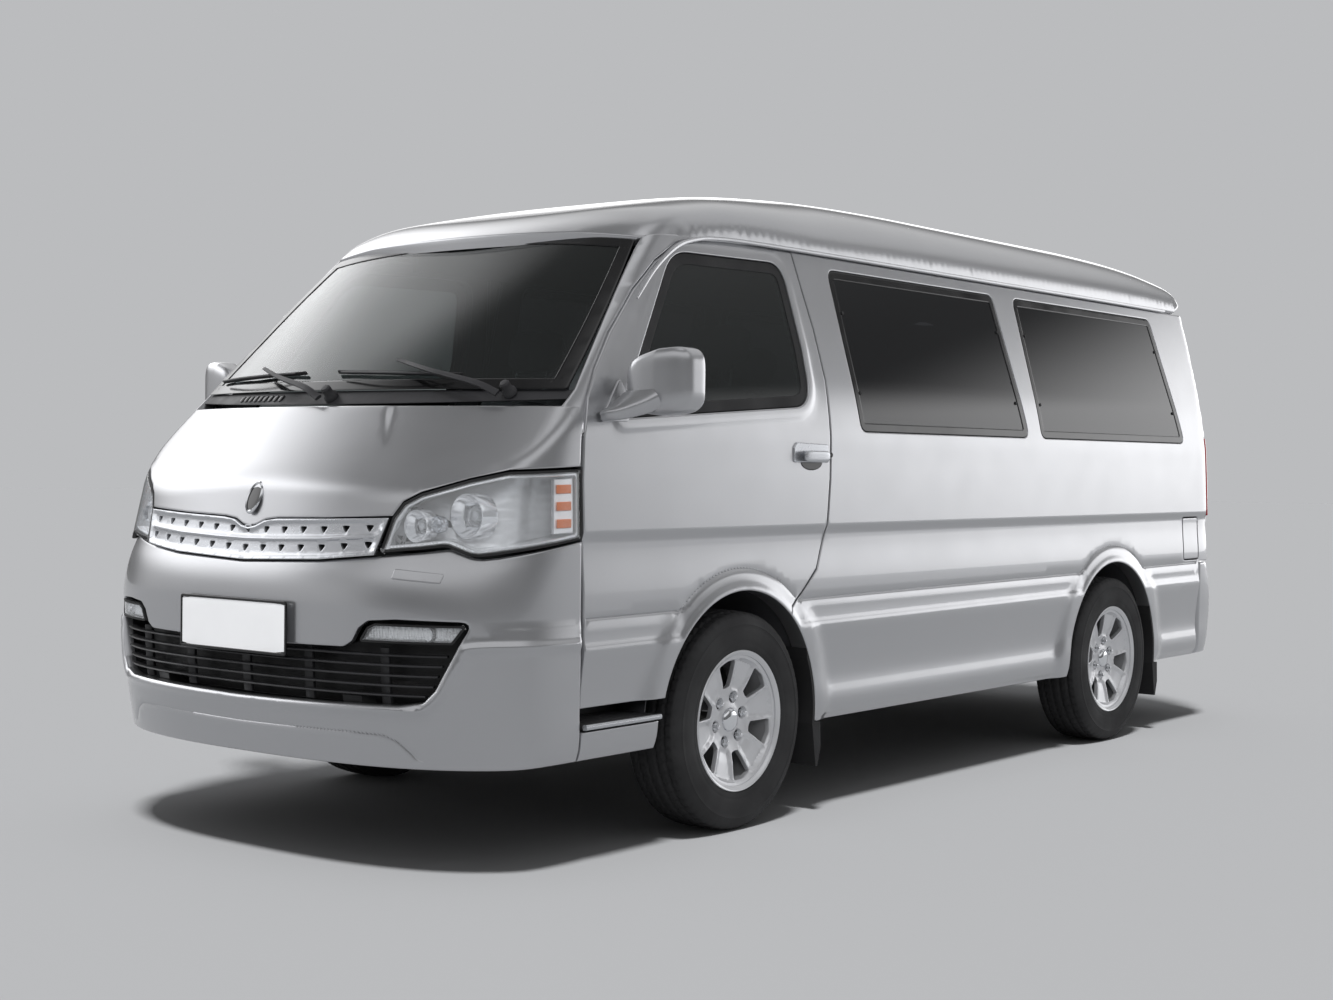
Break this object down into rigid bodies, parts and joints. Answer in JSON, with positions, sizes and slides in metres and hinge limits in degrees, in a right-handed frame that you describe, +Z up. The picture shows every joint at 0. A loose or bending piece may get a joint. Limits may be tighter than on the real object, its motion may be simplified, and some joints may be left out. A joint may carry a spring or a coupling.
{
  "type": "minivan",
  "caption": "High-roof one-box minivan with a short sloping nose, drip gutters, flush side windows, hinged front doors and tailgate, steered front wheels and alloy rims.",
  "frame": {"origin": "on the ground under the middle of the overall box", "axes": "-Y to the front, +X to the van's left side, +Z up"},
  "size_m": [2.102, 5.07, 2.06],
  "materials": {
    "paint": "silver metallic with clear coat",
    "silver_trim": "bright silver",
    "black_plastic": "grained",
    "rubber": "matte",
    "floor_mat": "painted steel with matting",
    "seat_fabric": "woven",
    "chassis": "black underbody paint",
    "clear_glass": "clear",
    "tinted_glass": "dark tint",
    "lamp": "clear lens over reflectors",
    "red_lamp": "red lens",
    "tyre": "matte",
    "rim": "machined and lacquered"
  },
  "bodies": {
    "body": {"floor": "floor_mat", "side_left": "paint", "side_right": "paint", "roof": "paint", "nose_panel": "paint", "cowl": "black_plastic", "front_bumper": "paint", "grille": "silver_trim", "lower_grille": "black_plastic", "headlamps": "lamp", "fog_lamps": "lamp", "side_steps": "black_plastic", "rear_bumper": "paint", "tail_lamps": "red_lamp", "windshield": "clear_glass", "side_glass_left": "tinted_glass", "side_glass_right": "tinted_glass", "wipers": "black_plastic", "dashboard": "black_plastic", "front_seats": "seat_fabric", "rear_seats": "seat_fabric", "sliding_door": "paint", "sliding_glass": "tinted_glass", "engine": "chassis", "underbody": "chassis", "front_suspension": "chassis", "rear_axle": "chassis", "mud_flaps": "rubber"},
    "door_left": {"door_left": "paint", "door_glass_left": "clear_glass", "mirror_left": "paint"},
    "door_right": {"door_right": "paint", "door_glass_right": "clear_glass", "mirror_right": "paint"},
    "tailgate": {"tailgate": "paint", "tailgate_glass": "tinted_glass"},
    "fuel_flap": {"fuel_flap": "paint"},
    "steering_wheel": {"steering_wheel": "black_plastic"},
    "knuckle_left": {"knuckle_left": "chassis"},
    "knuckle_right": {"knuckle_right": "chassis"},
    "wheel_fl": {"tyre_fl": "tyre", "rim_fl": "rim"},
    "wheel_fr": {"tyre_fr": "tyre", "rim_fr": "rim"},
    "wheel_rl": {"tyre_rl": "tyre", "rim_rl": "rim"},
    "wheel_rr": {"tyre_rr": "tyre", "rim_rr": "rim"}
  },
  "joints": [
    {"name": "door_left_hinge", "type": "hinge", "parent": "body", "child": "door_left", "pos_m": [0.845, -2, 1], "axis": [0, 0, -1], "range_deg": [0, 65]},
    {"name": "door_right_hinge", "type": "hinge", "parent": "body", "child": "door_right", "pos_m": [-0.845, -2, 1], "axis": [0, 0, 1], "range_deg": [0, 65]},
    {"name": "tailgate_hinge", "type": "hinge", "parent": "body", "child": "tailgate", "pos_m": [0, 2.353, 1.88], "axis": [1, 0, 0], "range_deg": [0, 85]},
    {"name": "fuel_flap_hinge", "type": "hinge", "parent": "body", "child": "fuel_flap", "pos_m": [0.844, 2.042, 0.8], "axis": [0, 0, -1], "range_deg": [0, 85]},
    {"name": "steer_left", "type": "hinge", "parent": "body", "child": "knuckle_left", "pos_m": [0.655, -1.265, 0.333], "axis": [0, 0, 1], "range_deg": [-33, 33]},
    {"name": "steer_right", "type": "hinge", "parent": "body", "child": "knuckle_right", "pos_m": [-0.655, -1.265, 0.333], "axis": [0, 0, 1], "range_deg": [-33, 33]},
    {"name": "steering_wheel_turn", "type": "hinge", "parent": "body", "child": "steering_wheel", "pos_m": [0.405, -1.665, 1.13], "axis": [0, 0.788, 0.6157], "range_deg": [-470, 470]},
    {"name": "wheel_fl_spin", "type": "hinge", "parent": "knuckle_left", "child": "wheel_fl", "pos_m": [0.735, -1.265, 0.333], "axis": [1, 0, 0], "continuous": true},
    {"name": "wheel_fr_spin", "type": "hinge", "parent": "knuckle_right", "child": "wheel_fr", "pos_m": [-0.735, -1.265, 0.333], "axis": [1, 0, 0], "continuous": true},
    {"name": "wheel_rl_spin", "type": "hinge", "parent": "body", "child": "wheel_rl", "pos_m": [0.735, 1.325, 0.333], "axis": [1, 0, 0], "continuous": true},
    {"name": "wheel_rr_spin", "type": "hinge", "parent": "body", "child": "wheel_rr", "pos_m": [-0.735, 1.325, 0.333], "axis": [1, 0, 0], "continuous": true}
  ],
  "couplings": [
    {"joint": "steer_right", "follows": "steer_left", "ratio": 1},
    {"joint": "steering_wheel_turn", "follows": "steer_left", "ratio": 14}
  ]
}
